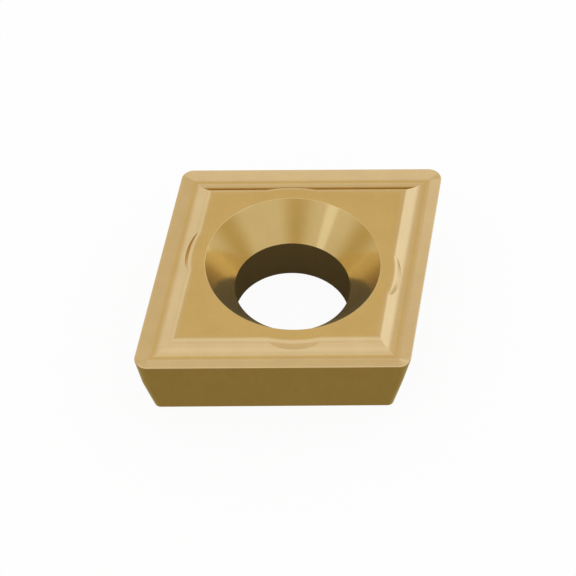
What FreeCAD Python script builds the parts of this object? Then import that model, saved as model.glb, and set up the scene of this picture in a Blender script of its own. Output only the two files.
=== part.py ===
import FreeCAD, Part
import math
import os

from FreeCAD import Vector

# Rhombic cutting insert of cemented carbide, pressed and sintered in one piece.
# Millimetres. Z is the axis of the screw hole, the seat lies on z = 0, and the
# front cutting edge runs along X. Insets are measured inward from the cutting edge.

# Outline at the cutting edge
inscribed_circle = 7.9375
corner_angle = 80.0
nose_radius = 0.4
thickness = 2.38

# Flanks, which lean in towards the seat. Each corner is a cone from the nose
# down to the heel radius, and keeps that radius from there to the seat.
clearance_angle = 11.0
heel_radius = 0.2

# Chipbreaker: a land that falls from the cutting edge into a groove, and a
# wall that rises from the groove to the plateau round the hole
groove_inset = 0.475
groove_depth = 0.09
wall_inset = 0.92
plateau_inset = 1.07
plateau_rise = 0.11

# Round boss on the plateau, which stands out over the middle of each wall
boss_radius = 3.0
boss_shoulder_radius = 0.21
boss_wall_angle = 44.0

# Screw hole
hole_diameter = 3.5
countersink_diameter = 5.26
countersink_angle = 78.0

# Rounding of the cutting edge, and of the edges round the seat and the hole
hone_radius = 0.03
edge_radius = 0.04

# How far tools reach past the faces that they cut
margin = 0.3

half_width = inscribed_circle / 2
plateau_height = thickness + plateau_rise
side_angles = [-90, -90 + corner_angle, 90, 90 + corner_angle]
up = Vector(0, 0, 1)


def unit(degrees):
    """The horizontal unit vector at this angle from X."""
    return Vector(math.cos(math.radians(degrees)), math.sin(math.radians(degrees)), 0)


def corner(index):
    """The outward normals of the two sides that meet at this corner."""
    return unit(side_angles[index]), unit(side_angles[(index + 1) % 4])


def turn_at_corner(index):
    """The angle from the first normal of this corner to the second."""
    first, second = corner(index)
    return math.degrees(first.getAngle(second))


def corner_centre(index, inset, z):
    """The point of this corner that lies inset from both cutting edges."""
    first, second = corner(index)
    along = (first + second) / (1 + first.dot(second))
    return along * (half_width - inset) + up * z


def flank_inset(z):
    """How far in the flanks lie at this height."""
    return (thickness - z) * math.tan(math.radians(clearance_angle))


def corner_arc(index, z):
    """Centre and radius of the outline's round corner at this height."""
    inset = flank_inset(z)
    radius = max(nose_radius - inset, heel_radius)
    return corner_centre(index, inset + radius, z), radius


def corner_edge(index, z):
    """The outline's round corner at this height."""
    centre, radius = corner_arc(index, z)
    first, second = corner(index)
    middle = (first + second).normalize()
    return Part.Arc(centre + first * radius, centre + middle * radius, centre + second * radius).toShape()


def joined(edges):
    """One wire of edges that are given in any order."""
    return Part.Wire(Part.__sortEdges__(edges))


def flank_levels():
    """Heights between which each flank and corner keeps one form, top first."""
    heel_height = thickness - (nose_radius - heel_radius) / math.tan(math.radians(clearance_angle))
    levels = [thickness + margin, 0]
    if 0 < heel_height < thickness:
        levels.insert(1, heel_height)
    return levels


def flank_solid():
    """The insert's outer form, from the seat to a margin above the cutting edge."""
    levels = flank_levels()
    arcs = {(index, z): corner_edge(index, z) for index in range(4) for z in levels}
    faces = []
    for index in range(4):
        before = (index - 1) % 4
        leaving = [arcs[before, z].lastVertex().Point for z in levels]
        arriving = [arcs[index, z].firstVertex().Point for z in levels]
        faces.append(Part.Face(Part.makePolygon(leaving + arriving[::-1] + leaving[:1])))
        for high, low in zip(levels, levels[1:]):
            centre, radius = corner_arc(index, high)
            lower_centre, lower_radius = corner_arc(index, low)
            if radius - lower_radius > 1e-9:
                ends = (arcs[index, high].firstVertex().Point, arcs[index, low].firstVertex().Point)
                faces.append(Part.makeLine(*ends).revolve(centre, up, turn_at_corner(index)))
            else:
                faces.append(arcs[index, high].extrude(lower_centre - centre))
    for z in (levels[0], levels[-1]):
        edges = [arcs[index, z] for index in range(4)]
        for index in range(4):
            start = arcs[(index - 1) % 4, z].lastVertex().Point
            edges.append(Part.makeLine(start, arcs[index, z].firstVertex().Point))
        faces.append(Part.Face(joined(edges)))
    shell = Part.Shell(faces)
    shell.sewShape()
    solid = Part.Solid(shell)
    if solid.Volume < 0:
        solid.reverse()
    return solid


def arc_about(centre_x, centre_z, radius, start, end):
    """An arc in the XZ plane between two angles from X, in degrees."""
    points = []
    for degrees in (start, (start + end) / 2, end):
        turn = math.radians(degrees)
        points.append(Vector(centre_x + radius * math.cos(turn), 0, centre_z + radius * math.sin(turn)))
    return Part.Arc(*points).toShape()


def chipbreaker_line():
    """Land, groove, wall and plateau seen in section, as edges in the XZ plane.

    The cutting edge is at x = 0 and the insert lies at negative x. The groove and
    the wall's shoulder are arcs that meet where the wall is steepest, and the land
    runs straight from the cutting edge until it touches the groove.
    """
    floor_height = thickness - groove_depth
    wall_slope = 2 * math.atan((plateau_height - floor_height) / (plateau_inset - groove_inset))
    groove_radius = (wall_inset - groove_inset) / math.sin(wall_slope)
    shoulder_radius = (plateau_inset - wall_inset) / math.sin(wall_slope)
    slope = math.degrees(wall_slope)

    groove_x = -groove_inset
    groove_z = floor_height + groove_radius
    reach = math.hypot(groove_inset, groove_z - thickness)
    land_slope = math.asin(groove_radius / reach) - math.atan2(groove_z - thickness, groove_inset)
    outer_end = Vector(margin, 0, thickness + margin * math.tan(land_slope))

    groove = arc_about(groove_x, groove_z, groove_radius, -90 + math.degrees(land_slope), -90 - slope)
    shoulder = arc_about(-plateau_inset, plateau_height - shoulder_radius, shoulder_radius, 90 - slope, 90)
    land = Part.makeLine(outer_end, groove.firstVertex().Point)
    plateau = Part.makeLine(shoulder.lastVertex().Point, Vector(-half_width, 0, plateau_height))
    return [land, groove, shoulder, plateau]


def chipbreaker_section(inner_x):
    """The section below the chipbreaker, from the margin in to inner_x."""
    line = chipbreaker_line()
    outer, inner = line[0].firstVertex().Point, line[-1].lastVertex().Point
    foot = [inner, Vector(inner.x, 0, 0), Vector(outer.x, 0, 0), outer]
    face = Part.Face(joined(line + Part.makePolygon(foot).Edges))
    window = Part.makeBox(outer.x - inner_x, 2, 2 * plateau_height, Vector(inner_x, -1, 0))
    return face.common(window)


def placed(shape, turn, point):
    """The shape turned about Z and then moved to the point."""
    copy = shape.copy()
    copy.Placement = FreeCAD.Placement(point, FreeCAD.Rotation(up, turn))
    return copy


def side_sector(index):
    """One side's chipbreaker, between the mitres on the two diagonals that end it."""
    normal = unit(side_angles[index])
    along = up.cross(normal)
    ends = [corner_centre((index - 1) % 4, nose_radius, 0), corner_centre(index, nose_radius, 0)]
    low, high = ends[0].dot(along) - margin, ends[1].dot(along) + margin
    start = normal * half_width + along * low
    section = placed(chipbreaker_section(-half_width), side_angles[index], start)

    outer = [end + normal * (nose_radius + margin) for end in ends]
    plan = Part.makePolygon([Vector(), ends[0], outer[0], outer[1], ends[1], Vector()])
    keep = Part.Face(plan).extrude(up * (2 * plateau_height))
    return section.Faces[0].extrude(along * (high - low)).common(keep)


def nose_sector(index):
    """The land and groove where they turn round a corner's nose."""
    section = chipbreaker_section(-nose_radius)
    first = corner(index)[0]
    centre = corner_centre(index, nose_radius, 0)
    start = placed(section, side_angles[index], centre + first * nose_radius)
    return start.Faces[0].revolve(centre, up, turn_at_corner(index))


def boss():
    """The round boss, turned about the hole's axis from the direction of a corner."""
    shoulder_z = plateau_height - boss_shoulder_radius
    shoulder = arc_about(boss_radius, shoulder_z, boss_shoulder_radius, 90, 90 - boss_wall_angle)
    start, steepest = shoulder.firstVertex().Point, shoulder.lastVertex().Point
    base = thickness - groove_depth - margin
    foot_x = steepest.x + (steepest.z - base) / math.tan(math.radians(boss_wall_angle))
    core = Part.makePolygon([steepest, Vector(foot_x, 0, base), up * base, up * plateau_height, start])
    section = Part.Face(joined([shoulder] + core.Edges))
    towards_corner = (side_angles[0] + side_angles[1]) / 2
    return placed(section, towards_corner, Vector()).revolve(Vector(), up, 360)


def screw_hole():
    """The bore and the countersink, as one tool."""
    bore_radius = hole_diameter / 2
    rim_radius = countersink_diameter / 2
    taper = math.tan(math.radians(countersink_angle / 2))
    depth = (rim_radius - bore_radius) / taper
    cone = Part.makeCone(
        bore_radius, rim_radius + margin * taper, depth + margin, up * (plateau_height - depth))
    bore = Part.makeCylinder(bore_radius, plateau_height + margin, up * -margin)
    return cone.fuse(bore)


def level_edges(solid, height, reach=None):
    """Edges that lie level at this height, and at this distance from the axis if one is given."""
    near = 1e-4
    found = []
    for edge in solid.Edges:
        middle = edge.valueAt((edge.FirstParameter + edge.LastParameter) / 2)
        points = [middle] + [vertex.Point for vertex in edge.Vertexes]
        level = all(abs(point.z - height) < near for point in points)
        if level and (reach is None or abs(math.hypot(middle.x, middle.y) - reach) < near):
            found.append(edge)
    return found


def insert_body():
    """The whole insert."""
    top = side_sector(0)
    others = [side_sector(index) for index in range(1, 4)]
    others += [nose_sector(index) for index in range(4)]
    top = top.fuse(others + [boss()])
    body = flank_solid().common(top).removeSplitter()
    body = body.cut(screw_hole()).removeSplitter()

    body = body.makeFillet(hone_radius, level_edges(body, thickness))
    seat_edges = level_edges(body, 0)
    rim = level_edges(body, plateau_height, countersink_diameter / 2)
    return body.makeFillet(edge_radius, seat_edges + rim)


os.makedirs("parts", exist_ok=True)
body = insert_body()
body.exportStep("parts/insert_body.step")
print("insert_body:", len(body.Solids), "solid,", round(body.Volume, 3), "mm3, valid", body.isValid())
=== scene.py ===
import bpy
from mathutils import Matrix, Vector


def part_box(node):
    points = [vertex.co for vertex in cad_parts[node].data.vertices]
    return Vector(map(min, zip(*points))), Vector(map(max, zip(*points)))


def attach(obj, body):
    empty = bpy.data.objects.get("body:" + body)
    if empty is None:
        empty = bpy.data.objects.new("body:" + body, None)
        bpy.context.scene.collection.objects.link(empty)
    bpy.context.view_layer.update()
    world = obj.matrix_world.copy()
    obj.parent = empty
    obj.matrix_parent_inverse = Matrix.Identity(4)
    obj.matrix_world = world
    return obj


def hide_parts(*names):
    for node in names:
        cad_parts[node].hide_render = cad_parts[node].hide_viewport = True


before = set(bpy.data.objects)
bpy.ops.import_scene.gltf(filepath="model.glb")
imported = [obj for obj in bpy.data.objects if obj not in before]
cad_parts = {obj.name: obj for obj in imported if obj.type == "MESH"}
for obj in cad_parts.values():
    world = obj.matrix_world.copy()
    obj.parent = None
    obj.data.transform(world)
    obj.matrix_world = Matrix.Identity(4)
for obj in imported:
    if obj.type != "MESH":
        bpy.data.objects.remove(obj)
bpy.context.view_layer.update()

import math

import bpy
import numpy as np
from bpy.props import FloatProperty, FloatVectorProperty, PointerProperty
from mathutils import Vector

bl_info = {
    "name": "Carbide insert",
    "version": (1, 0, 0),
    "blender": (4, 5, 0),
    "location": "3D View > Sidebar > Insert",
    "description": "Builds a rhombic cutting insert with its coating, and a stage to show it on",
    "category": "Add Mesh",
}

MM = 0.001
UP = np.array([0.0, 0.0, 1.0])
SEAT, CROWN = (corner.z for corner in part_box("insert_body"))

# Cells across each stretch of the outline and of the section
MITRE_CELLS = 14
STRAIGHT_CELLS = 10
BOSS_CELLS = 48
NOSE_CELLS = 20
LAND_CELLS = 5
GROOVE_CELLS = 8
WALL_CELLS = 24
SHOULDER_CELLS = 14
HONE_CELLS = 12
FLANK_CELLS = 5
ROUND_CELLS = 7
BOSS_WALL_CELLS = 22
FLAT_CELLS = 3
CONE_CELLS = 8
BORE_CELLS = 4

# How many of the hone's cells have the flanks' coat
HONE_FLANK_CELLS = 4

# Halvings that find where the boss meets a wall
HALVINGS = 60

# Largest share of an arc's radius that its height is worked out for, so that its slope stays finite
ARC_LIMIT = 0.999

# In metres, the difference that still counts as none, and the step that welded points are rounded to
SLACK = 1e-12
WELD_STEP = 1e-8

# Material slots of the insert's mesh, and what its corners carry besides their normals
RAKE, CONE, FLANK, BORE = range(4)
MARKS = ("wear", "blasted")

# How strongly the hone and the hole's rim are rubbed, and how far the rubbing reaches
HONE_WEAR = 0.3
HONE_WEAR_REACH = 0.03 * MM
RIM_WEAR = 0.1
RIM_WEAR_REACH = 0.02 * MM

# Stretch over which the paler coat of the painted highlight gives way to the plateau's, half on each side
# of its edge
HIGHLIGHT_FADE = 0.12 * MM

# Line along the groove's bottom where the painted highlight is left out and the plain gold shows: how
# strong it is, how far inside the groove's bottom, and how wide
GROOVE_GOLD = 0.9
GROOVE_GOLD_INSET = 0.005 * MM
GROOVE_GOLD_WIDTH = 0.055 * MM

# Grains a metre and detail of the coat's noises
CLOUDS = (1300, 4)
GRAIN = (22000, 3)
SMEARS = (5200, 5)

# The values that most of a noise lies between, and those it is spread to
NOISE_SPAN = (0.3, 0.7)
WEAR_SPAN = (0.25, 0.6)
SHADE_SPAN = (0.975, 1.025)
GLOSS_SPAN = (0.92, 1.08)

BUMP_STRENGTH = 0.10
BUMP_DEPTH = 0.004 * MM

# Numbers of the colour sockets on a mix node
MIX_SHARE, MIX_FIRST, MIX_SECOND, MIX_RESULT = 0, 6, 7, 2

# Where the camera stands, in millimetres, and how it is turned, in degrees
CAMERA_PLACE = (-1.0463, -48.2342, 56.6881)
CAMERA_TURN = (41.0688, -0.2915, -0.7447)

# Half the floor's width in metres, and what keeps it clear of the seat
FLOOR_REACH = 1.5
FLOOR_GAP = 0.002 * MM

# How much of plain white the camera and polished metal see in the floor
FLOOR_WHITE = 0.94

# How far from the hole's axis the shade on the floor starts to clear and is gone, in millimetres
SHADED_REACH = (2.0, 3.4)

# Bearing of the first gap in the room's light, how far a gap reaches to each side, and the
# heights between which the light turns to that from above, in degrees
GAP_BEARING = 5.5
GAP_WIDTH = 27
ROOM_CLIMB = (28, 44)

# How far the lamps stand from the insert, in metres
LAMP_DISTANCE = 0.25

# Each lamp's name, then its bearing, elevation, width and height in degrees, and its level
LAMPS = (
    ("back_lamp", 0, 20, 24, 36, 0.31),
    ("right_back_lamp", 46, 21.5, 39, 40, 0.46),
    ("left_back_lamp", -34, 22, 40, 40, 0.22),
    ("back_top_lamp", 0, 68, 60, 22, 0.18),
    ("top_lamp", 0, 90, 60, 22, 0.28),
    ("front_top_lamp", 180, 68, 60, 22, 0.21),
    ("front_lamp", 180, 47, 60, 18, 0.08),
    ("left_strip_lamp", -131, 26, 12, 36, 0.34),
    ("left_high_lamp", -100, 50, 40, 22, 0.36),
    ("right_high_lamp", 100, 50, 40, 22, 0.56),
)


class InsertSizes(bpy.types.PropertyGroup):
    """The insert's own sizes."""
    inscribed_circle: FloatProperty(
        name="Inscribed circle", description="Circle that touches all four cutting edges",
        default=7.9375 * MM, min=4 * MM, max=20 * MM, unit="LENGTH", precision=5)
    corner_angle: FloatProperty(
        name="Corner angle", description="Angle between the sides at the two sharper corners",
        default=math.radians(80), min=math.radians(55), max=math.radians(90), subtype="ANGLE")
    nose_radius: FloatProperty(
        name="Nose radius", description="Radius of the four corners at the cutting edge",
        default=0.4 * MM, min=0.25 * MM, max=0.45 * MM, unit="LENGTH", precision=5)
    heel_radius: FloatProperty(
        name="Heel radius", description="Radius that the corners keep down to the seat",
        default=0.2 * MM, min=0.1 * MM, max=0.22 * MM, unit="LENGTH", precision=5)
    crown_height: FloatProperty(
        name="Crown height", description="From the seat to the plateau",
        default=CROWN - SEAT, min=1.5 * MM, max=7 * MM, unit="LENGTH", precision=5)
    plateau_rise: FloatProperty(
        name="Plateau rise", description="From the cutting edge up to the plateau",
        default=0.11 * MM, min=0.02 * MM, max=0.3 * MM, unit="LENGTH", precision=5)
    clearance_angle: FloatProperty(
        name="Clearance angle", description="How far the flanks lean in towards the seat",
        default=math.radians(11), min=math.radians(3), max=math.radians(20), subtype="ANGLE")
    groove_inset: FloatProperty(
        name="Groove inset", description="From the cutting edge to the bottom of the groove",
        default=0.475 * MM, min=0.4 * MM, max=0.7 * MM, unit="LENGTH", precision=5)
    groove_depth: FloatProperty(
        name="Groove depth", description="From the cutting edge down to the bottom of the groove",
        default=0.09 * MM, min=0.02 * MM, max=0.3 * MM, unit="LENGTH", precision=5)
    wall_inset: FloatProperty(
        name="Wall inset", description="From the cutting edge to the steepest line of the wall",
        default=0.92 * MM, min=0.75 * MM, max=1 * MM, unit="LENGTH", precision=5)
    plateau_inset: FloatProperty(
        name="Plateau inset", description="From the cutting edge to the plateau",
        default=1.07 * MM, min=1.02 * MM, max=1.2 * MM, unit="LENGTH", precision=5)
    boss_radius: FloatProperty(
        name="Boss radius", description="Flat part of the round boss on the plateau",
        default=3.0 * MM, min=2.95 * MM, max=3.2 * MM, unit="LENGTH", precision=5)
    boss_wall_angle: FloatProperty(
        name="Boss wall angle", description="Slope of the boss below its shoulder",
        default=math.radians(44), min=math.radians(40), max=math.radians(80), subtype="ANGLE")
    boss_shoulder_radius: FloatProperty(
        name="Boss shoulder radius", description="Rounding at the top of the boss",
        default=0.21 * MM, min=0.05 * MM, max=0.3 * MM, unit="LENGTH", precision=5)
    hole_diameter: FloatProperty(
        name="Hole diameter", description="Bore for the clamping screw",
        default=3.5 * MM, min=2 * MM, max=4.5 * MM, unit="LENGTH", precision=5)
    countersink_diameter: FloatProperty(
        name="Countersink diameter", description="Countersink where it meets the plateau",
        default=5.26 * MM, min=4.6 * MM, max=5.6 * MM, unit="LENGTH", precision=5)
    countersink_angle: FloatProperty(
        name="Countersink angle", description="Full angle of the countersink",
        default=math.radians(78), min=math.radians(40), max=math.radians(100), subtype="ANGLE")
    hone_radius: FloatProperty(
        name="Hone radius", description="Rounding of the cutting edge",
        default=0.03 * MM, min=0.01 * MM, max=0.06 * MM, unit="LENGTH", precision=5)
    edge_radius: FloatProperty(
        name="Edge radius", description="Rounding of the seat's edges",
        default=0.04 * MM, min=0.01 * MM, max=0.06 * MM, unit="LENGTH", precision=5)
    rim_radius: FloatProperty(
        name="Rim radius", description="Rounding at the countersink's rim",
        default=0.02 * MM, min=0.01 * MM, max=0.06 * MM, unit="LENGTH", precision=5)


class InsertFinish(bpy.types.PropertyGroup):
    """The colours and the gloss of the coating."""
    coat_colour: FloatVectorProperty(
        name="Coat", description="Gold coat on the plateau",
        default=(0.674, 0.468, 0.18), size=3, min=0, max=1, subtype="COLOR")
    # Paler colour painted on the lands, grooves and walls as a highlight
    painted_highlight_colour: FloatVectorProperty(
        name="Painted highlight", description="Paler coat on the lands, grooves and walls",
        default=(0.69, 0.505, 0.257), size=3, min=0, max=1, subtype="COLOR")
    countersink_colour: FloatVectorProperty(
        name="Countersink coat", description="Coat in the countersink",
        default=(0.71, 0.53, 0.23), size=3, min=0, max=1, subtype="COLOR")
    edge_colour: FloatVectorProperty(
        name="Edge", description="Coat thinned by the honing along the edges",
        default=(0.80, 0.66, 0.42), size=3, min=0, max=1, subtype="COLOR")
    # Painted shade: the flanks and the seat get a dark brown colour in place of the shade they show
    flank_shade_colour: FloatVectorProperty(
        name="Flanks and seat", description="Browner coat on the flanks and the seat",
        default=(0.215, 0.127, 0.0275), size=3, min=0, max=1, subtype="COLOR")
    # Painted shade: a dark colour inside the bore, where the hole lies in shade
    bore_shade_colour: FloatVectorProperty(
        name="Bore", description="Dark colour inside the bore, painted shade",
        default=(0.185, 0.142, 0.064), size=3, min=0, max=1, subtype="COLOR")
    roughness: FloatProperty(
        name="Roughness", description="Gloss of the coat, lower is glossier",
        default=0.19, min=0.02, max=0.8, subtype="FACTOR")
    countersink_roughness: FloatProperty(
        name="Countersink roughness", description="Gloss of the countersink",
        default=0.13, min=0.02, max=0.8, subtype="FACTOR")
    flank_roughness: FloatProperty(
        name="Flank roughness", description="Gloss of the flanks, the seat and the bore",
        default=0.32, min=0.02, max=0.8, subtype="FACTOR")


class StageSettings(bpy.types.PropertyGroup):
    """Floor, light and camera."""
    floor_colour: FloatVectorProperty(
        name="Floor", description="Colour of the floor",
        default=(0.93, 0.93, 0.93), size=3, min=0, max=1, subtype="COLOR")
    shade_colour: FloatVectorProperty(
        name="Shaded floor", description="Colour of the floor under the insert, as the hole's walls see it",
        default=(0.40, 0.28, 0.13), size=3, min=0, max=1, subtype="COLOR")
    room_colour: FloatVectorProperty(
        name="Room", description="Plain light from above",
        default=(0.80, 0.75, 0.64), size=3, min=0, max=1, subtype="COLOR")
    horizon_colour: FloatVectorProperty(
        name="Horizon", description="Plain light from low down",
        default=(0.80, 0.76, 0.69), size=3, min=0, max=1, subtype="COLOR")
    gap_colour: FloatVectorProperty(
        name="Gaps", description="Dimmer light in four gaps along the horizon",
        default=(0.58, 0.465, 0.22), size=3, min=0, max=1, subtype="COLOR")
    lamp_colour: FloatVectorProperty(
        name="Lamps", description="Colour of the soft lamps",
        default=(0.76, 1.0, 1.5), size=3, min=0, max=2, subtype="COLOR")
    focal_length: FloatProperty(
        name="Focal length", description="Lens of the camera",
        default=151.66, min=20, max=400, unit="CAMERA")


def level_direction(angle):
    """Level unit vectors at these angles from X."""
    angle = np.asarray(angle, float)
    return np.stack([np.cos(angle), np.sin(angle), np.zeros_like(angle)], -1)


class Section:
    """The insert's section across a side, worked out once from its sizes."""

    def __init__(self, sizes):
        self.sizes = sizes
        self.half = sizes.inscribed_circle / 2
        self.crown = SEAT + sizes.crown_height
        self.edge = self.crown - sizes.plateau_rise
        self.heel = self.edge - (sizes.nose_radius - sizes.heel_radius) / math.tan(sizes.clearance_angle)
        self.groove_bottom = self.edge - sizes.groove_depth
        rise = self.crown - self.groove_bottom
        slope = 2 * math.atan(rise / (sizes.plateau_inset - sizes.groove_inset))
        self.groove_radius = (sizes.wall_inset - sizes.groove_inset) / math.sin(slope)
        self.shoulder_radius = (sizes.plateau_inset - sizes.wall_inset) / math.sin(slope)
        lift = self.groove_bottom + self.groove_radius - self.edge
        reach = math.hypot(sizes.groove_inset, lift)
        self.land_slope = math.asin(self.groove_radius / reach) - math.atan2(lift, sizes.groove_inset)
        self.land_end = sizes.groove_inset - self.groove_radius * math.sin(self.land_slope)
        self.side_angles = [-math.pi / 2, -math.pi / 2 + sizes.corner_angle]
        self.side_angles += [angle + math.pi for angle in self.side_angles]
        self._hone()

    def _hone(self):
        """The hone's centre from the cutting edge, its arc, and where it meets flank and land."""
        lean = self.sizes.clearance_angle
        land = np.array([-math.sin(self.land_slope), math.cos(self.land_slope)])
        flank = np.array([math.cos(lean), -math.sin(lean)])
        radius = self.sizes.hone_radius
        self.hone_centre = np.linalg.solve(np.stack([land, flank]), [-radius, -radius])
        self.hone_turns = (-lean, math.pi / 2 + self.land_slope)
        self.hone_base = self.edge + self.hone_centre[1] + radius * math.sin(self.hone_turns[0])
        self.land_start = -(self.hone_centre + radius * land)[0]

    def rake(self, inset):
        """Height of the land, groove and wall at this inset, and its rise inward."""
        sizes = self.sizes
        inset = np.asarray(inset, float)
        land = self.edge - inset * math.tan(self.land_slope)
        across = np.clip((inset - sizes.groove_inset) / self.groove_radius, -ARC_LIMIT, ARC_LIMIT)
        groove = self.groove_bottom + self.groove_radius * (1 - np.sqrt(1 - across**2))
        back = np.clip((sizes.plateau_inset - inset) / self.shoulder_radius, 0, ARC_LIMIT)
        shoulder = self.crown - self.shoulder_radius * (1 - np.sqrt(1 - back**2))
        stretches = [inset < self.land_end, inset < sizes.wall_inset]
        height = np.select(stretches, [land, groove], shoulder)
        rise = np.select(
            stretches,
            [np.full_like(inset, -math.tan(self.land_slope)), across / np.sqrt(1 - across**2)],
            back / np.sqrt(1 - back**2))
        return height, rise

    def boss(self, reach):
        """Height of the boss at this distance from the axis, and its rise outward."""
        sizes = self.sizes
        steepest = math.sin(sizes.boss_wall_angle)
        over = np.clip((reach - sizes.boss_radius) / sizes.boss_shoulder_radius, 0, steepest)
        beyond = np.maximum(reach - sizes.boss_radius - sizes.boss_shoulder_radius * steepest, 0)
        shoulder = self.crown - sizes.boss_shoulder_radius * (1 - np.sqrt(1 - over**2))
        return shoulder - beyond * math.tan(sizes.boss_wall_angle), -over / np.sqrt(1 - over**2)

    def corner_turn(self, index):
        """The angle from this side's normal to the next one's."""
        return (self.side_angles[(index + 1) % 4] - self.side_angles[index]) % (2 * math.pi)

    def corner_tangent(self, index):
        """Tangent of half the turn from this side to the next."""
        return math.tan(self.corner_turn(index) / 2)

    def corner_along(self, index):
        """How far the corner moves outward for each unit that its two sides do."""
        first, second = (level_direction(self.side_angles[side % 4]) for side in (index, index + 1))
        return (first + second) / (1 + first @ second)

    def lean(self, height):
        """How far in the flanks lie at this height."""
        return (self.edge - height) * math.tan(self.sizes.clearance_angle)

    def corner_radius(self, height):
        """Radius of the corners at this height."""
        return max(self.sizes.nose_radius - self.lean(height), self.sizes.heel_radius)


class Station:
    """One place on the outline: a side, how far along it, or a turn of a corner."""

    def __init__(self, section, side, along=None, turn=None):
        self.section, self.side, self.along = section, side, along
        self.normal = level_direction(section.side_angles[side] + (turn or 0.0))
        self.turning = turn is not None
        # How far in the rake face reaches, where it meets the plateau, and whether the boss stands out
        self.inner = section.sizes.nose_radius
        self.top = None
        self.bulging = False
        if not self.turning:
            before, after = section.corner_tangent(side - 1), section.corner_tangent(side)
            reach = section.half - section.sizes.nose_radius
            self.share = (along + reach * before) / (reach * (before + after))

    def place(self, height):
        """The point on the flank at this height, before the edges are rounded."""
        section = self.section
        inset = section.lean(height)
        radius = section.corner_radius(height)
        if self.turning:
            centre = section.corner_along(self.side) * (section.half - inset - radius)
            return centre + self.normal * radius + UP * height
        start = -(section.half - inset - radius) * section.corner_tangent(self.side - 1)
        end = (section.half - inset - radius) * section.corner_tangent(self.side)
        along = np.cross(UP, self.normal) * (start + (end - start) * self.share)
        return self.normal * (section.half - inset) + along + UP * height

    def flank_lean(self, height):
        """Tangent of how much the flank leans in here."""
        lean = math.tan(self.section.sizes.clearance_angle)
        if self.turning and height <= self.section.heel:
            lean *= float(self.normal @ self.section.corner_along(self.side))
        return lean

    def facing(self, turn):
        """The direction out of the insert here, tipped up by this angle."""
        return self.normal * math.cos(turn) + UP * math.sin(turn)

    def inward(self, inset, height):
        """The point at this inset from the cutting edge and at this height."""
        point = self.place(self.section.edge) - self.normal * inset
        point[2] = height
        return point


def boss_crossing(section, along):
    """Inset where the boss runs into the wall, at this place along a side."""
    reach = math.sqrt(section.sizes.boss_radius**2 - along**2)
    high, low = section.half - reach, section.sizes.groove_inset
    for _ in range(HALVINGS):
        middle = (high + low) / 2
        boss = section.boss(math.hypot(along, section.half - middle))[0]
        if boss > section.rake(middle)[0]:
            high = middle
        else:
            low = middle
    return (high + low) / 2


def side_stations(section, side):
    """Stations along one side, from the end of one nose to the start of the next."""
    sizes = section.sizes
    before, after = section.corner_tangent(side - 1), section.corner_tangent(side)
    flat = section.half - sizes.plateau_inset
    swell = math.sqrt(max(sizes.boss_radius**2 - flat**2, 0))
    insets = np.linspace(sizes.nose_radius, sizes.plateau_inset, MITRE_CELLS + 1)
    bulge_turns = np.linspace(-1, 1, BOSS_CELLS + 1)[1:-1] * math.pi / 2
    places = np.concatenate([
        -(section.half - insets) * before,
        np.linspace(-flat * before, -swell, STRAIGHT_CELLS + 1)[1:],
        np.sin(bulge_turns) * swell,
        np.linspace(swell, flat * after, STRAIGHT_CELLS),
        (section.half - insets[::-1][1:]) * after])
    stations = [Station(section, side, along) for along in places]
    for station in stations:
        mitre = section.half - abs(station.along) / (after if station.along > 0 else before)
        station.inner = min(sizes.plateau_inset, mitre)
        if abs(station.along) < swell - SLACK:
            station.bulging = True
            station.inner = boss_crossing(section, station.along)
            crossing = station.inward(station.inner, 0)
            station.top = crossing * sizes.boss_radius / np.linalg.norm(crossing) + UP * section.crown
        elif mitre > sizes.plateau_inset - SLACK:
            station.top = station.inward(sizes.plateau_inset, section.crown)
    return stations


def outline_stations(section):
    """All stations, counterclockwise from the first side's start."""
    stations = []
    for side in range(4):
        turns = np.linspace(0, section.corner_turn(side), NOSE_CELLS + 1)[1:-1]
        stations += side_stations(section, side)
        stations += [Station(section, side, turn=turn) for turn in turns]
    return stations


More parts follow.
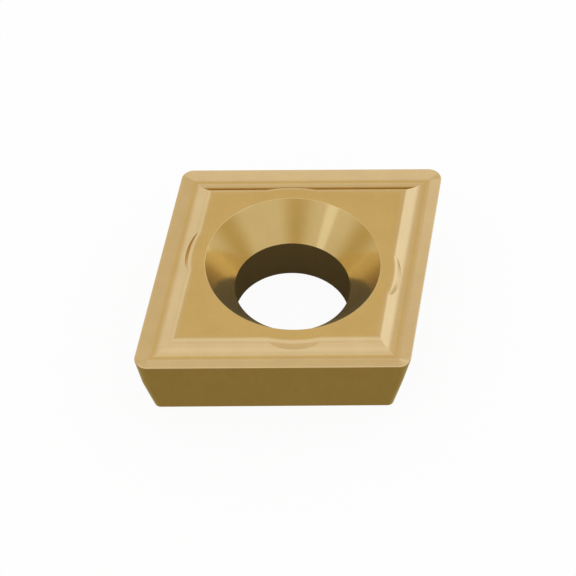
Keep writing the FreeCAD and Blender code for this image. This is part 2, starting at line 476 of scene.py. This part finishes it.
class Shell:
    """Faces gathered strip by strip, each corner with its own normal."""

    def __init__(self):
        self.points, self.normals = [], []
        self.marks = {mark: [] for mark in MARKS}
        self.faces, self.finishes = [], []
        self.count = 0

    def add(self, points, normals, **marks):
        """Adds a grid of points and returns their numbers. Marks left out are nought."""
        points = np.asarray(points, float)
        shape = points.shape[:-1]
        normals = np.asarray(normals, float)
        normals = normals / np.linalg.norm(normals, axis=-1, keepdims=True)
        numbers = np.arange(self.count, self.count + points[..., 0].size).reshape(shape)
        self.count += numbers.size
        self.points.append(points.reshape(-1, 3))
        self.normals.append(normals.reshape(-1, 3))
        for mark in MARKS:
            self.marks[mark].append(np.broadcast_to(marks.get(mark, 0.0), shape).ravel())
        return numbers

    def strip(self, points, normals, finish, closed=True, **marks):
        """A grid of rows by columns. finish is one slot for each row of faces."""
        numbers = self.add(points, normals, **marks)
        right = np.roll(numbers, -1, axis=1) if closed else numbers[:, 1:]
        left = numbers if closed else numbers[:, :-1]
        quads = np.stack([left[:-1], right[:-1], right[1:], left[1:]], -1)
        self.faces.append(quads.reshape(-1, 4))
        self.finishes.append(np.repeat(finish, quads.shape[1]))
        return numbers

    def mesh(self, name):
        """Welds what lies together and makes the mesh."""
        points = np.concatenate(self.points)
        keys = np.round(points / WELD_STEP).astype(np.int64)
        _, first, welded = np.unique(keys, axis=0, return_index=True, return_inverse=True)
        welded = welded.ravel()
        faces, corners, finishes = [], [], []
        for quads, finish in zip(self.faces, self.finishes):
            for quad, slot in zip(quads, finish):
                kept = []
                for corner in quad:
                    if welded[corner] not in [welded[other] for other in kept]:
                        kept.append(corner)
                if len(kept) > 2:
                    faces.append([int(welded[corner]) for corner in kept])
                    corners += kept
                    finishes.append(int(slot))
        mesh = bpy.data.meshes.new(name)
        mesh.from_pydata(points[first].tolist(), [], faces)
        mesh.polygons.foreach_set("material_index", finishes)
        mesh.polygons.foreach_set("use_smooth", [True] * len(faces))
        for mark, values in self.marks.items():
            attribute = mesh.attributes.new(mark, "FLOAT", "CORNER")
            attribute.data.foreach_set("value", np.concatenate(values)[corners].astype(np.float32))
        mesh.update()
        mesh.normals_split_custom_set(np.concatenate(self.normals)[corners].tolist())
        return mesh


def fading(distance, reach):
    """A share that falls smoothly from 1 at no distance to about a third at this reach."""
    return np.exp(-((np.asarray(distance) / reach) ** 2))


def painted_highlight_share(beyond):
    """How much of the paler coat of the painted highlight shows this far outside the plateau's edge."""
    return np.clip(beyond / HIGHLIGHT_FADE + 0.5, 0, 1)


def seat_round(section, station):
    """Rows round the seat's edge, from the seat up to the flank."""
    radius = section.sizes.edge_radius
    lean = math.atan(station.flank_lean(SEAT))
    centre = -radius * (1 - math.sin(lean)) / math.cos(lean)
    for turn in np.linspace(-math.pi / 2, -lean, ROUND_CELLS + 1):
        height = SEAT + radius * (1 + math.sin(turn))
        aside = centre + radius * math.cos(turn) - (height - SEAT) * math.tan(lean)
        yield station.place(height) + station.normal * aside, station.facing(turn), 0.0, 0.0


def flank_rows(section, station, start):
    """Rows up the flank, from this height to the hone."""
    below = np.linspace(start, section.heel, FLANK_CELLS + 1)[1:]
    above = np.linspace(section.heel, section.hone_base, FLANK_CELLS + 1)[1:]
    for height in np.concatenate([below, above]):
        yield station.place(height), station.normal - UP * station.flank_lean(height), 0.0, 0.0


def hone_rows(section, station):
    """Rows round the cutting edge."""
    radius = section.sizes.hone_radius
    for turn in np.linspace(*section.hone_turns, HONE_CELLS + 1)[1:]:
        aside = section.hone_centre[0] + radius * math.cos(turn)
        height = section.edge + section.hone_centre[1] + radius * math.sin(turn)
        yield station.inward(-aside, height), station.facing(turn), HONE_WEAR, 1.0


def rake_shares(section):
    """How far in each row over the land, groove and wall lies, as a share of the whole."""
    sizes = section.sizes
    spans = (
        (section.land_start, section.land_end, LAND_CELLS),
        (section.land_end, sizes.groove_inset, GROOVE_CELLS),
        (sizes.groove_inset, sizes.wall_inset, WALL_CELLS),
        (sizes.wall_inset, sizes.plateau_inset, SHOULDER_CELLS))
    insets = np.concatenate([np.linspace(low, high, cells + 1)[1:] for low, high, cells in spans])
    return (insets - section.land_start) / (sizes.plateau_inset - section.land_start)


def rake_rows(section, station, shares):
    """Rows in over the land, groove and wall."""
    sizes = section.sizes
    inset = section.land_start + shares * (station.inner - section.land_start)
    for at, height, rise in zip(inset, *section.rake(inset)):
        wear = HONE_WEAR * fading(at - section.land_start, HONE_WEAR_REACH)
        gold = GROOVE_GOLD * fading(at - sizes.groove_inset - GROOVE_GOLD_INSET, GROOVE_GOLD_WIDTH)
        # Painted highlight: a paler coat over the land, groove and wall, left out along the groove's bottom
        blasted = (1 - gold) * painted_highlight_share(sizes.plateau_inset - at)
        yield station.inward(at, height), station.normal * rise + UP, wear, blasted


def outer_strip(shell, section, stations):
    """Seat edge, flanks, hone, lands, grooves and walls, in one strip of rows.

    Each row has its point, the way it faces, its wear and how much of the paler, painted highlight it
    carries.
    """
    shares = rake_shares(section)
    columns = []
    for station in stations:
        rows = list(seat_round(section, station))
        rows += flank_rows(section, station, rows[-1][0][2])
        rows += hone_rows(section, station)
        rows += rake_rows(section, station, shares)
        columns.append(zip(*rows))
    points, normals, wear, blasted = (np.swapaxes(values, 0, 1) for values in zip(*columns))
    # Rows round the seat's edge, up the flanks and over the lower hone take the darker coat of painted
    # shade
    flank_shade_rows = ROUND_CELLS + 2 * FLANK_CELLS + HONE_FLANK_CELLS
    finish = [FLANK] * flank_shade_rows + [RAKE] * (len(points) - 1 - flank_shade_rows)
    return shell.strip(points, normals, finish, wear=wear, blasted=blasted)


def boss_strips(shell, section, stations):
    """The four places where the boss stands out over a wall."""
    boss_radius = section.sizes.boss_radius
    for side in range(4):
        row = [station for station in stations if station.side == side and not station.turning]
        bulge = [number for number, station in enumerate(row) if station.bulging]
        if not bulge:
            continue
        points, normals, blasted = [], [], []
        for station in row[bulge[0] - 1:bulge[-1] + 2]:
            outer = station.inward(station.inner, 0)
            far = np.linalg.norm(outer)
            reach = np.linspace(far, boss_radius, BOSS_WALL_CELLS + 1)
            height, rise = section.boss(reach)
            points.append(outer / far * reach[:, None] + UP * height[:, None])
            normals.append(UP - outer / far * rise[:, None])
            # The boss's wall carries the painted highlight too, fading out where the boss's flat top begins
            blasted.append(painted_highlight_share(reach - boss_radius))
        shell.strip(
            np.swapaxes(points, 0, 1), np.swapaxes(normals, 0, 1), [RAKE] * BOSS_WALL_CELLS,
            closed=False, blasted=np.transpose(blasted))


def arc_rows(centre, radius, start, end):
    """Reach, height and facing along an arc of the hole's section."""
    return [
        (centre[0] + radius * math.cos(turn), centre[1] + radius * math.sin(turn), turn)
        for turn in np.linspace(start, end, ROUND_CELLS + 1)]


def line_rows(start, end, cells, facing):
    """Reach, height and facing along a straight stretch of the hole's section, after its start."""
    return [
        (start[0] + (end[0] - start[0]) * share, start[1] + (end[1] - start[1]) * share, facing)
        for share in np.linspace(0, 1, cells + 1)[1:]]


def hole_rows(section):
    """Rows down the hole, and how many of them the rim and the cone have."""
    sizes = section.sizes
    half_angle = sizes.countersink_angle / 2
    rim, bore = sizes.countersink_diameter / 2, sizes.hole_diameter / 2
    tangent = sizes.rim_radius * math.tan((math.pi / 2 - half_angle) / 2)
    rim_centre = (rim + tangent, section.crown - sizes.rim_radius)
    rows = arc_rows(rim_centre, sizes.rim_radius, math.pi / 2, math.pi - half_angle)
    cone_foot = (bore, section.crown - (rim - bore) / math.tan(half_angle))
    rows += line_rows(rows[-1], cone_foot, CONE_CELLS, math.pi - half_angle)
    cone_rows = len(rows)
    foot = SEAT + sizes.edge_radius
    rows.append((*cone_foot, math.pi))
    rows += line_rows(cone_foot, (bore, foot), BORE_CELLS, math.pi)
    rows += arc_rows((bore + sizes.edge_radius, foot), sizes.edge_radius, math.pi, 1.5 * math.pi)[1:]
    return np.array(rows), cone_rows


def plateau_strip(shell, section, tops, rim_row):
    """The flat plateau, from its edge to the rounding at the hole's rim."""
    shares = np.linspace(0, 1, FLAT_CELLS + 1)[:, None, None] ** 2
    points = tops * (1 - shares) + rim_row * shares
    from_rim = np.linalg.norm(points[..., :2], axis=-1) - section.sizes.countersink_diameter / 2
    # The plateau's edge row carries half of the paler, painted highlight
    blasted = np.zeros((FLAT_CELLS + 1, 1))
    blasted[0] = painted_highlight_share(0)
    shell.strip(
        points, np.broadcast_to(UP, points.shape), [RAKE] * FLAT_CELLS,
        wear=RIM_WEAR * fading(from_rim, RIM_WEAR_REACH), blasted=blasted)


def hole_strips(shell, section, stations):
    """Plateau, countersink, bore and the rounding at its foot. Returns the last row."""
    tops = np.array([station.top for station in stations if station.top is not None])
    out = level_direction(np.arctan2(tops[:, 1], tops[:, 0]))
    rows, cone_rows = hole_rows(section)
    reach, height, facing = rows.T[..., None, None]
    points = out * reach + UP * height
    normals = out * np.cos(facing) + UP * np.sin(facing)
    from_rim = np.hypot(reach - section.sizes.countersink_diameter / 2, height - section.crown)
    wear = RIM_WEAR * fading(from_rim[..., 0], RIM_WEAR_REACH)
    plateau_strip(shell, section, tops, points[0])
    shell.strip(
        points[:cone_rows], normals[:cone_rows], [CONE] * (cone_rows - 1), wear=wear[:cone_rows])
    return shell.strip(
        points[cone_rows:], normals[cone_rows:], [BORE] * (len(rows) - cone_rows - 1))[-1]


def seat_faces(shell, outer_row, inner_row):
    """The flat seat between the foot of the flanks and the foot of the bore."""
    full_turn = 2 * math.pi
    points = np.concatenate(shell.points)
    rings, bearings = [], []
    for row in (outer_row, inner_row):
        rings.append(shell.add(points[row], np.broadcast_to(-UP, (len(row), 3))))
        bearings.append(np.unwrap(np.arctan2(points[row][:, 1], points[row][:, 0])))
    (outer, inner), (outer_bearing, inner_bearing) = rings, bearings
    apart = (inner_bearing - outer_bearing[0] + math.pi) % full_turn - math.pi
    shift = np.argmin(np.abs(apart))
    inner = np.roll(inner, -shift)
    inner_bearing = np.unwrap(np.roll(inner_bearing, -shift))
    inner_bearing += round((outer_bearing[0] - inner_bearing[0]) / full_turn) * full_turn
    outer, inner = np.append(outer, outer[0]), np.append(inner, inner[0])
    outer_bearing = np.append(outer_bearing, outer_bearing[0] + full_turn)
    inner_bearing = np.append(inner_bearing, inner_bearing[0] + full_turn)
    # Each triangle is a quad whose first corner comes again, and the welding drops that
    far, near, faces = 0, 0, []
    while far < len(outer) - 1 or near < len(inner) - 1:
        start = [outer[far], inner[near]]
        inner_done = near == len(inner) - 1
        if inner_done or (far < len(outer) - 1 and outer_bearing[far + 1] <= inner_bearing[near + 1]):
            far += 1
            faces.append([*start, outer[far], start[0]])
        else:
            near += 1
            faces.append([*start, inner[near], start[0]])
    shell.faces.append(np.array(faces))
    shell.finishes.append(np.full(len(faces), FLANK))


def node(tree, kind, inputs=None, **settings):
    """A node with its settings made and its inputs given, as values or as sockets."""
    made = tree.nodes.new(kind)
    for key, value in settings.items():
        setattr(made, key, value)
    for key, value in (inputs or {}).items():
        if isinstance(value, bpy.types.NodeSocket):
            tree.links.new(value, made.inputs[key])
        else:
            made.inputs[key].default_value = value
    return made


def noise(tree, place, scale, detail, stretch=(1, 1, 1)):
    """Noise of this many grains a metre."""
    moved = node(tree, "ShaderNodeMapping", {"Vector": place, "Scale": stretch}).outputs["Vector"]
    sockets = {"Vector": moved, "Scale": scale, "Detail": detail}
    return node(tree, "ShaderNodeTexNoise", sockets).outputs["Fac"]


def spread(tree, value, low, high):
    """A noise's value spread to low..high."""
    start, end = NOISE_SPAN
    sockets = {"Value": value, "From Min": start, "From Max": end, "To Min": low, "To Max": high}
    return node(tree, "ShaderNodeMapRange", sockets).outputs["Result"]


def eased(tree, value, start, end):
    """A share that rises smoothly from 0 at start to 1 at end."""
    sockets = {"Value": value, "From Min": start, "From Max": end}
    return node(tree, "ShaderNodeMapRange", sockets, interpolation_type="SMOOTHSTEP").outputs["Result"]


def reckoned(tree, operation, first, second):
    """One value worked out from two."""
    return node(tree, "ShaderNodeMath", {0: first, 1: second}, operation=operation).outputs[0]


def mixed(tree, share, first, second, blend="MIX"):
    """Two colours mixed, each given as values or as a socket."""
    sockets = {MIX_SHARE: share}
    for key, colour in ((MIX_FIRST, first), (MIX_SECOND, second)):
        sockets[key] = colour if isinstance(colour, bpy.types.NodeSocket) else (*colour, 1)
    return node(tree, "ShaderNodeMix", sockets, data_type="RGBA", blend_type=blend).outputs[MIX_RESULT]


def marked(tree, mark):
    """What the mesh's corners carry under this name."""
    return node(tree, "ShaderNodeAttribute", attribute_name=mark).outputs["Fac"]


def coated_material(
        name, colour, rubbed, roughness, grazing, blasted=None, metal=1.0, streaks=(1, 1, 1)):
    """Metal under a thin coat of fine grain.

    rubbed is its colour where it has worn, and the colour after grazing is a paler painted highlight,
    laid on where the mesh's corners carry it. grazing tints what a slanting view sees in it, and streaks
    stretches its grain.
    """
    material = bpy.data.materials.new(name)
    material.use_nodes = True
    tree = material.node_tree
    shader = tree.nodes["Principled BSDF"]
    place = node(tree, "ShaderNodeTexCoord").outputs["Object"]
    grain = noise(tree, place, *GRAIN, streaks)

    tone = colour
    # Paler colour of the painted highlight, laid on where the corners carry it
    if blasted is not None:
        tone = mixed(tree, marked(tree, "blasted"), tone, blasted)
    worn = reckoned(tree, "MULTIPLY", marked(tree, "wear"), spread(tree, grain, *WEAR_SPAN))
    tone = mixed(tree, worn, tone, rubbed)
    cloud = spread(tree, noise(tree, place, *CLOUDS), *SHADE_SPAN)
    shade = reckoned(tree, "MULTIPLY", cloud, spread(tree, grain, *SHADE_SPAN))
    grey = node(tree, "ShaderNodeCombineColor", {"Red": shade, "Green": shade, "Blue": shade})
    tone = mixed(tree, 1.0, tone, grey.outputs["Color"], "MULTIPLY")
    tree.links.new(tone, shader.inputs["Base Color"])

    smears = noise(tree, place, *SMEARS, streaks)
    rough = spread(tree, smears, *(roughness * share for share in GLOSS_SPAN))
    tree.links.new(rough, shader.inputs["Roughness"])
    bump = node(
        tree, "ShaderNodeBump", {"Height": grain, "Strength": BUMP_STRENGTH, "Distance": BUMP_DEPTH})
    tree.links.new(bump.outputs["Normal"], shader.inputs["Normal"])
    shader.inputs["Metallic"].default_value = metal
    shader.inputs["Specular Tint"].default_value = (*grazing, 1)
    shader.inputs["Specular IOR Level"].default_value = 0.0
    return material


def gold_coat(finish):
    """Satin gold on the plateau, with a paler painted highlight on the lands, grooves and walls."""
    return coated_material(
        "gold_coat", finish.coat_colour, finish.edge_colour, finish.roughness,
        grazing=(0.75, 0.65, 0.45), blasted=finish.painted_highlight_colour)


def countersink_coat(finish):
    """Glossier gold in the countersink."""
    return coated_material(
        "countersink_coat", finish.countersink_colour, finish.edge_colour,
        finish.countersink_roughness, grazing=(0.03, 0.0, 0.0), metal=0.84)


def flank_painted_shade_coat(finish):
    """Dark brown coat with a fine upright grain on the flanks and the seat; its darkness is painted shade.
    """
    return coated_material(
        "flank_painted_shade_coat", finish.flank_shade_colour, finish.edge_colour, finish.flank_roughness,
        grazing=(0.95, 0.88, 0.62), streaks=(1, 1, 0.12))


def bore_painted_shade_coat(finish):
    """Dark coat inside the bore; its darkness is painted shade of the hole."""
    return coated_material(
        "bore_painted_shade_coat", finish.bore_shade_colour, finish.edge_colour, finish.flank_roughness,
        grazing=(0.42, 0.36, 0.27), metal=0.5)


class OBJECT_OT_carbide_insert(bpy.types.Operator):
    """Build the insert and its coating"""
    bl_idname = "object.carbide_insert"
    bl_label = "Carbide insert"

    def execute(self, context):
        section = Section(context.scene.insert_sizes)
        stations = outline_stations(section)
        shell = Shell()
        seat_ring = outer_strip(shell, section, stations)[0]
        boss_strips(shell, section, stations)
        bore_ring = hole_strips(shell, section, stations)
        seat_faces(shell, seat_ring, bore_ring)
        mesh = shell.mesh("coated_insert")
        # In the order of the slots: rake, cone, flank and bore
        for coat in (gold_coat, countersink_coat, flank_painted_shade_coat, bore_painted_shade_coat):
            mesh.materials.append(coat(context.scene.insert_finish))
        insert = bpy.data.objects.new("coated_insert", mesh)
        context.scene.collection.objects.link(insert)
        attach(insert, "root")
        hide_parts("insert_body")
        return {"FINISHED"}


def pale_floor(colour, shade):
    """Plain and pale, white to the eye and to polished metal, so that it still keeps shadows.

    Under the insert the metal sees it shaded.
    """
    material = bpy.data.materials.new("pale_floor")
    material.use_nodes = True
    tree = material.node_tree
    tree.nodes.remove(tree.nodes["Principled BSDF"])
    path = node(tree, "ShaderNodeLightPath").outputs
    place = node(tree, "ShaderNodeTexCoord").outputs["Object"]
    away = node(tree, "ShaderNodeVectorMath", {0: place}, operation="LENGTH").outputs["Value"]
    clear = eased(tree, away, *(reach * MM for reach in SHADED_REACH))
    polish = reckoned(tree, "MULTIPLY", path["Is Glossy Ray"], clear)
    shaded = reckoned(tree, "SUBTRACT", path["Is Glossy Ray"], polish)
    diffuse = node(tree, "ShaderNodeBsdfDiffuse", {"Color": mixed(tree, shaded, colour, shade)})
    white = node(tree, "ShaderNodeEmission", {"Color": (1, 1, 1, 1), "Strength": 1.0})
    seen = reckoned(tree, "MAXIMUM", path["Is Camera Ray"], polish)
    seen = reckoned(tree, "MAXIMUM", seen, path["Is Transmission Ray"])
    share = reckoned(tree, "MULTIPLY", seen, FLOOR_WHITE)
    blend = node(tree, "ShaderNodeMixShader", {0: share, 1: diffuse.outputs[0], 2: white.outputs[0]})
    tree.links.new(blend.outputs[0], tree.nodes["Material Output"].inputs["Surface"])
    return material


def make_floor(scene, settings):
    """A plain floor just under the seat."""
    corners = [
        (x * FLOOR_REACH, y * FLOOR_REACH, SEAT - FLOOR_GAP)
        for x, y in ((-1, -1), (1, -1), (1, 1), (-1, 1))]
    mesh = bpy.data.meshes.new("floor")
    mesh.from_pydata(corners, [], [(0, 1, 2, 3)])
    mesh.materials.append(pale_floor(settings.floor_colour, settings.shade_colour))
    floor = bpy.data.objects.new("floor", mesh)
    scene.collection.objects.link(floor)


def make_room(scene, settings):
    """Plain light from all round, dimmer in four gaps low down, a quarter turn apart."""
    world = bpy.data.worlds.new("room")
    world.use_nodes = True
    tree = world.node_tree
    place = node(tree, "ShaderNodeTexCoord").outputs["Generated"]
    axes = node(tree, "ShaderNodeSeparateXYZ", {"Vector": place}).outputs
    bearing = reckoned(tree, "ARCTAN2", axes["X"], axes["Y"])
    turned = reckoned(tree, "SUBTRACT", bearing, math.radians(GAP_BEARING))
    from_gap = reckoned(tree, "PINGPONG", turned, math.pi / 4)
    beside = eased(tree, from_gap, 0, math.radians(GAP_WIDTH))
    low = mixed(tree, beside, settings.gap_colour, settings.horizon_colour)
    climb = eased(tree, axes["Z"], *(math.sin(math.radians(angle)) for angle in ROOM_CLIMB))
    light = mixed(tree, climb, low, settings.room_colour)
    tree.links.new(light, tree.nodes["Background"].inputs["Color"])
    scene.world = world


def soft_lamp(scene, name, bearing, elevation, width, height, level, colour):
    """A soft lamp that faces the insert.

    Bearing runs from +Y towards +X, width and height are the angles that it fills as seen
    from the insert, and level is its brightness.
    """
    across, upright = (2 * LAMP_DISTANCE * math.tan(math.radians(angle) / 2) for angle in (width, height))
    lamp = bpy.data.lights.new(name, "AREA")
    lamp.shape = "RECTANGLE"
    lamp.size, lamp.size_y = across, upright
    lamp.energy = level * math.pi * across * upright
    lamp.color = colour
    holder = bpy.data.objects.new(name, lamp)
    scene.collection.objects.link(holder)
    turn, climb = math.radians(bearing), math.radians(elevation)
    away = Vector((math.sin(turn) * math.cos(climb), math.cos(turn) * math.cos(climb), math.sin(climb)))
    holder.location = away * LAMP_DISTANCE
    holder.rotation_euler = away.to_track_quat("Z", "Y").to_euler()
    holder.visible_camera = False


def make_camera(scene, focal_length):
    """The camera, at the photograph's angle and distance."""
    camera = bpy.data.cameras.new("camera")
    camera.lens = focal_length
    camera.sensor_width = 36
    camera.clip_start, camera.clip_end = 0.001, 10
    holder = bpy.data.objects.new("camera", camera)
    scene.collection.objects.link(holder)
    holder.location = [offset * MM for offset in CAMERA_PLACE]
    holder.rotation_euler = [math.radians(turn) for turn in CAMERA_TURN]
    scene.camera = holder


class SCENE_OT_insert_stage(bpy.types.Operator):
    """Build the floor, the light and the camera"""
    bl_idname = "scene.insert_stage"
    bl_label = "Insert stage"

    def execute(self, context):
        scene, settings = context.scene, context.scene.insert_stage
        make_floor(scene, settings)
        make_room(scene, settings)
        for lamp in LAMPS:
            soft_lamp(scene, *lamp, settings.lamp_colour)
        make_camera(scene, settings.focal_length)
        scene.view_settings.view_transform = "Standard"
        return {"FINISHED"}


class VIEW3D_PT_carbide_insert(bpy.types.Panel):
    """Sizes, finish and stage of the insert"""
    bl_idname = "VIEW3D_PT_carbide_insert"
    bl_label = "Carbide insert"
    bl_space_type = "VIEW_3D"
    bl_region_type = "UI"
    bl_category = "Insert"

    def draw(self, context):
        for operator, group in (
                (OBJECT_OT_carbide_insert, context.scene.insert_sizes),
                (None, context.scene.insert_finish),
                (SCENE_OT_insert_stage, context.scene.insert_stage)):
            box = self.layout.box()
            for key in type(group).__annotations__:
                box.prop(group, key)
            if operator is not None:
                box.operator(operator.bl_idname)


CLASSES = (
    InsertSizes, InsertFinish, StageSettings, OBJECT_OT_carbide_insert,
    SCENE_OT_insert_stage, VIEW3D_PT_carbide_insert)


def register():
    for kind in CLASSES:
        bpy.utils.register_class(kind)
    bpy.types.Scene.insert_sizes = PointerProperty(type=InsertSizes)
    bpy.types.Scene.insert_finish = PointerProperty(type=InsertFinish)
    bpy.types.Scene.insert_stage = PointerProperty(type=StageSettings)


def unregister():
    del bpy.types.Scene.insert_stage
    del bpy.types.Scene.insert_finish
    del bpy.types.Scene.insert_sizes
    for kind in reversed(CLASSES):
        bpy.utils.unregister_class(kind)


def main():
    """Builds the insert and its stage."""
    register()
    bpy.ops.object.carbide_insert()
    bpy.ops.scene.insert_stage()


if __name__ == "__main__":
    main()
